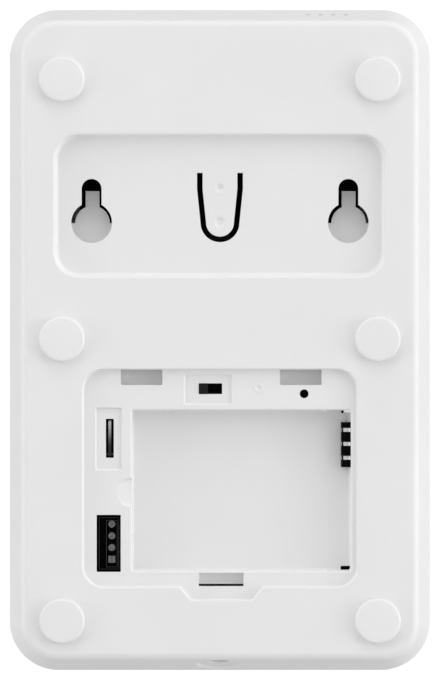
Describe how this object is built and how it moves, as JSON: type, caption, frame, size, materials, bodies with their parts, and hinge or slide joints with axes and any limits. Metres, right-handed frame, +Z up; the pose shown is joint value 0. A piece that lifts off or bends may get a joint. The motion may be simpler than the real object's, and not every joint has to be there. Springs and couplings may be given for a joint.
{
  "type": "alarm keypad panel",
  "caption": "Wall-hung alarm keypad panel with sprung keys, tamper switches, an open battery bay, keyhole hangers and a supply inlet.",
  "frame": {"origin": "middle of the outline, in the plane of the wall that the feet touch", "axes": "+Z up as it hangs, -Y out of the wall towards the user, +X to the right as the user faces the keys"},
  "size_m": [0.0912, 0.0194, 0.1432],
  "materials": {
    "white_plastic": "fine spark-eroded texture",
    "white_rubber": "satin",
    "steel": "zinc plated",
    "spring_steel": "polished strip",
    "contact_metal": "nickel plated",
    "solder": "tinned",
    "tinned_shield": "tin plated",
    "copper_wire": "enamelled copper",
    "black_board": "black solder mask",
    "black_plastic": "moulded",
    "dark_plastic": "moulded",
    "key_plastic": "fine texture",
    "dome_rubber": "silicone",
    "led_resin": "cast resin",
    "smoked_window": "polished, smoked"
  },
  "bodies": {
    "housing": {"back_cover": "white_plastic", "front_cover": "white_plastic", "rubber_feet": "white_rubber", "case_screws": "steel", "wall_tamper_switch": "dark_plastic", "main_board": "black_board", "main_board_screws": "steel", "header_pads": "solder", "board_header": "black_plastic", "radio_shield": "tinned_shield", "main_chip": "black_plastic", "antenna_wire": "copper_wire", "slide_switch_body": "black_plastic", "reset_switch_body": "dark_plastic", "door_tamper_base": "black_plastic", "door_tamper_pin": "steel", "battery_connector": "black_plastic", "dc_jack": "black_plastic", "dc_jack_pin": "contact_metal", "keypad_board": "black_board", "keypad_board_screws": "steel", "dome_mat": "dome_rubber", "buzzer": "black_plastic", "status_leds": "led_resin", "status_window": "smoked_window"},
    "slide_knob": {"slide_switch_knob": "black_plastic"},
    "reset_button": {"reset_plunger": "black_plastic"},
    "tamper_lever": {"door_tamper_lever": "spring_steel"},
    "tamper_tab": {"wall_tamper_tab": "white_plastic"},
    "tamper_plunger": {"wall_tamper_plunger": "black_plastic"},
    "contact_springs": {"battery_contacts": "contact_metal"},
    "key_arm": {"key_arm": "key_plastic"},
    "key_home": {"key_home": "key_plastic"},
    "key_disarm": {"key_disarm": "key_plastic"},
    "key_alarm": {"key_alarm": "key_plastic"},
    "key_1": {"key_1": "key_plastic"},
    "key_2": {"key_2": "key_plastic"},
    "key_3": {"key_3": "key_plastic"},
    "key_4": {"key_4": "key_plastic"},
    "key_5": {"key_5": "key_plastic"},
    "key_6": {"key_6": "key_plastic"},
    "key_7": {"key_7": "key_plastic"},
    "key_8": {"key_8": "key_plastic"},
    "key_9": {"key_9": "key_plastic"},
    "key_star": {"key_star": "key_plastic"},
    "key_0": {"key_0": "key_plastic"},
    "key_hash": {"key_hash": "key_plastic"}
  },
  "joints": [
    {"name": "key_arm_press", "type": "slide", "parent": "housing", "child": "key_arm", "axis": [0, 1, 0], "range_m": [0, 0.0009], "stiffness_N_per_m": 600},
    {"name": "key_home_press", "type": "slide", "parent": "housing", "child": "key_home", "axis": [0, 1, 0], "range_m": [0, 0.0009], "stiffness_N_per_m": 600},
    {"name": "key_disarm_press", "type": "slide", "parent": "housing", "child": "key_disarm", "axis": [0, 1, 0], "range_m": [0, 0.0009], "stiffness_N_per_m": 600},
    {"name": "key_alarm_press", "type": "slide", "parent": "housing", "child": "key_alarm", "axis": [0, 1, 0], "range_m": [0, 0.0009], "stiffness_N_per_m": 600},
    {"name": "key_1_press", "type": "slide", "parent": "housing", "child": "key_1", "axis": [0, 1, 0], "range_m": [0, 0.0009], "stiffness_N_per_m": 600},
    {"name": "key_2_press", "type": "slide", "parent": "housing", "child": "key_2", "axis": [0, 1, 0], "range_m": [0, 0.0009], "stiffness_N_per_m": 600},
    {"name": "key_3_press", "type": "slide", "parent": "housing", "child": "key_3", "axis": [0, 1, 0], "range_m": [0, 0.0009], "stiffness_N_per_m": 600},
    {"name": "key_4_press", "type": "slide", "parent": "housing", "child": "key_4", "axis": [0, 1, 0], "range_m": [0, 0.0009], "stiffness_N_per_m": 600},
    {"name": "key_5_press", "type": "slide", "parent": "housing", "child": "key_5", "axis": [0, 1, 0], "range_m": [0, 0.0009], "stiffness_N_per_m": 600},
    {"name": "key_6_press", "type": "slide", "parent": "housing", "child": "key_6", "axis": [0, 1, 0], "range_m": [0, 0.0009], "stiffness_N_per_m": 600},
    {"name": "key_7_press", "type": "slide", "parent": "housing", "child": "key_7", "axis": [0, 1, 0], "range_m": [0, 0.0009], "stiffness_N_per_m": 600},
    {"name": "key_8_press", "type": "slide", "parent": "housing", "child": "key_8", "axis": [0, 1, 0], "range_m": [0, 0.0009], "stiffness_N_per_m": 600},
    {"name": "key_9_press", "type": "slide", "parent": "housing", "child": "key_9", "axis": [0, 1, 0], "range_m": [0, 0.0009], "stiffness_N_per_m": 600},
    {"name": "key_star_press", "type": "slide", "parent": "housing", "child": "key_star", "axis": [0, 1, 0], "range_m": [0, 0.0009], "stiffness_N_per_m": 600},
    {"name": "key_0_press", "type": "slide", "parent": "housing", "child": "key_0", "axis": [0, 1, 0], "range_m": [0, 0.0009], "stiffness_N_per_m": 600},
    {"name": "key_hash_press", "type": "slide", "parent": "housing", "child": "key_hash", "axis": [0, 1, 0], "range_m": [0, 0.0009], "stiffness_N_per_m": 600},
    {"name": "slide_switch", "type": "slide", "parent": "housing", "child": "slide_knob", "axis": [-1, 0, 0], "range_m": [0, 0.0024]},
    {"name": "reset_press", "type": "slide", "parent": "housing", "child": "reset_button", "axis": [0, -1, 0], "range_m": [0, 0.0003], "stiffness_N_per_m": 400},
    {"name": "door_tamper", "type": "hinge", "parent": "housing", "child": "tamper_lever", "pos_m": [0.02375, -0.0055, -0.0247], "axis": [1, 0, 0], "range_deg": [0, 8], "stiffness_Nm_per_rad": 0.005},
    {"name": "wall_tamper_flex", "type": "hinge", "parent": "housing", "child": "tamper_tab", "pos_m": [0, -0.0049, 0.036], "axis": [-1, 0, 0], "range_deg": [0, 3], "stiffness_Nm_per_rad": 0.12},
    {"name": "wall_tamper_press", "type": "slide", "parent": "housing", "child": "tamper_plunger", "axis": [0, -1, 0], "range_m": [0, 0.00065]},
    {"name": "battery_contact_press", "type": "slide", "parent": "housing", "child": "contact_springs", "axis": [-1, 0, 0], "range_m": [0, 0.0005], "stiffness_N_per_m": 800}
  ],
  "couplings": [
    {"joint": "wall_tamper_press", "follows": "wall_tamper_flex", "m_per_rad": 0.0118}
  ]
}
